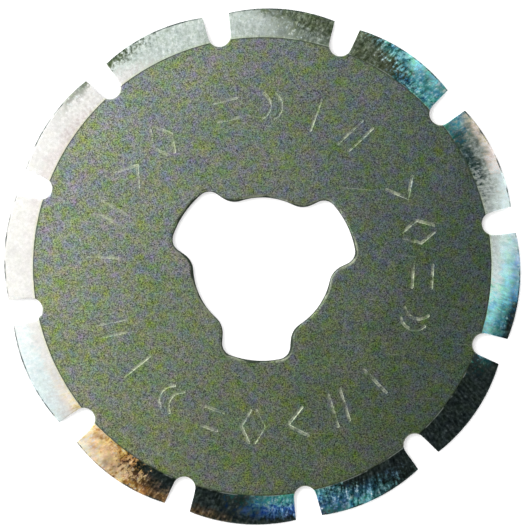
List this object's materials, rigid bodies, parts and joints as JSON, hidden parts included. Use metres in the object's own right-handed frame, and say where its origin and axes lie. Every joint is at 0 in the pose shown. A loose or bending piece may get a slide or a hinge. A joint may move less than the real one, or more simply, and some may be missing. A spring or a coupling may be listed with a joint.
{
  "type": "rotary cutter blade",
  "caption": "Thin round steel blade for a rotary cutter, with a notched, double-bevelled rim that cuts dashes and a lobed hub hole.",
  "frame": {"origin": "centre of the blade, halfway through its thickness", "axes": "+Z is the axis the blade turns about, out of the marked face; +Y points midway between two lobes of the hub hole, and one lobe points along -Y"},
  "size_m": [0.02, 0.02, 0.0004],
  "materials": {
    "steel": "satin, fine grained faces and bright ground bevels"
  },
  "bodies": {
    "root": {"skip_blade": "steel"}
  },
  "joints": []
}
